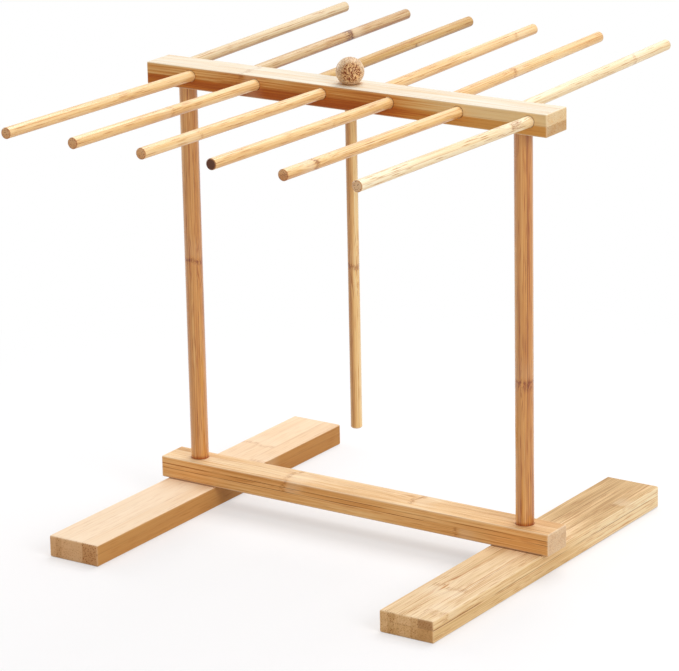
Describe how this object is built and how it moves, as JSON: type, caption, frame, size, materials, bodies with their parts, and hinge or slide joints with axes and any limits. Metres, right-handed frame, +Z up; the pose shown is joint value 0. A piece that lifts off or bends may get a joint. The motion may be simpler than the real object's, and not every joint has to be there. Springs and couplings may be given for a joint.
{
  "type": "pasta drying rack",
  "caption": "Free-standing bamboo rack: round arms plugged into both sides of a raised bar, a ball-topped wand hung through it, and swivelling feet.",
  "frame": {"origin": "on the table, midway between the two feet and under the middle of the top bar", "axes": "+X along the top bar, -Y towards the front, +Z up"},
  "size_m": [0.38, 0.511, 0.4011],
  "materials": {
    "bamboo_board": "planed and sanded laminated bamboo, matt oil",
    "bamboo_arm": "turned bamboo stick, sanded, matt",
    "bamboo_post": "turned bamboo, darker, matt",
    "zinc_steel": "bright zinc"
  },
  "bodies": {
    "frame": {"base_rail": "bamboo_board", "left_upright": "bamboo_post", "right_upright": "bamboo_post", "top_bar": "bamboo_board", "left_pivot_screw": "zinc_steel", "right_pivot_screw": "zinc_steel", "left_pivot_washer": "zinc_steel", "right_pivot_washer": "zinc_steel"},
    "left_foot_swing": {"left_foot": "bamboo_board"},
    "right_foot_swing": {"right_foot": "bamboo_board"},
    "wand": {"wand_shaft": "bamboo_post", "wand_ball": "bamboo_post"},
    "front_arm_1_stick": {"front_arm_1": "bamboo_arm"},
    "front_arm_2_stick": {"front_arm_2": "bamboo_arm"},
    "front_arm_3_stick": {"front_arm_3": "bamboo_arm"},
    "front_arm_4_stick": {"front_arm_4": "bamboo_arm"},
    "front_arm_5_stick": {"front_arm_5": "bamboo_arm"},
    "front_arm_6_stick": {"front_arm_6": "bamboo_arm"},
    "back_arm_1_stick": {"back_arm_1": "bamboo_arm"},
    "back_arm_2_stick": {"back_arm_2": "bamboo_arm"},
    "back_arm_3_stick": {"back_arm_3": "bamboo_arm"},
    "back_arm_4_stick": {"back_arm_4": "bamboo_arm"},
    "back_arm_5_stick": {"back_arm_5": "bamboo_arm"},
    "back_arm_6_stick": {"back_arm_6": "bamboo_arm"}
  },
  "joints": [
    {"name": "left_foot_swivel", "type": "hinge", "parent": "frame", "child": "left_foot_swing", "pos_m": [-0.16, 0, 0], "axis": [0, 0, 1], "range_deg": [0, 80]},
    {"name": "right_foot_swivel", "type": "hinge", "parent": "frame", "child": "right_foot_swing", "pos_m": [0.16, 0, 0], "axis": [0, 0, 1], "range_deg": [0, 80]},
    {"name": "wand_lift", "type": "slide", "parent": "frame", "child": "wand", "axis": [0, 0, 1], "range_m": [0, 0.3]},
    {"name": "front_arm_1_pull", "type": "slide", "parent": "frame", "child": "front_arm_1_stick", "axis": [0, -0.9998, 0.0175], "range_m": [0, 0.03]},
    {"name": "front_arm_2_pull", "type": "slide", "parent": "frame", "child": "front_arm_2_stick", "axis": [0, -0.9998, 0.0175], "range_m": [0, 0.03]},
    {"name": "front_arm_3_pull", "type": "slide", "parent": "frame", "child": "front_arm_3_stick", "axis": [0, -0.9998, 0.0175], "range_m": [0, 0.03]},
    {"name": "front_arm_4_pull", "type": "slide", "parent": "frame", "child": "front_arm_4_stick", "axis": [0, -0.9998, 0.0175], "range_m": [0, 0.03]},
    {"name": "front_arm_5_pull", "type": "slide", "parent": "frame", "child": "front_arm_5_stick", "axis": [0, -0.9998, 0.0175], "range_m": [0, 0.03]},
    {"name": "front_arm_6_pull", "type": "slide", "parent": "frame", "child": "front_arm_6_stick", "axis": [0, -0.9998, 0.0175], "range_m": [0, 0.03]},
    {"name": "back_arm_1_pull", "type": "slide", "parent": "frame", "child": "back_arm_1_stick", "axis": [0, 0.9998, 0.0175], "range_m": [0, 0.03]},
    {"name": "back_arm_2_pull", "type": "slide", "parent": "frame", "child": "back_arm_2_stick", "axis": [0, 0.9998, 0.0175], "range_m": [0, 0.03]},
    {"name": "back_arm_3_pull", "type": "slide", "parent": "frame", "child": "back_arm_3_stick", "axis": [0, 0.9998, 0.0175], "range_m": [0, 0.03]},
    {"name": "back_arm_4_pull", "type": "slide", "parent": "frame", "child": "back_arm_4_stick", "axis": [0, 0.9998, 0.0175], "range_m": [0, 0.03]},
    {"name": "back_arm_5_pull", "type": "slide", "parent": "frame", "child": "back_arm_5_stick", "axis": [0, 0.9998, 0.0175], "range_m": [0, 0.03]},
    {"name": "back_arm_6_pull", "type": "slide", "parent": "frame", "child": "back_arm_6_stick", "axis": [0, 0.9998, 0.0175], "range_m": [0, 0.03]}
  ]
}
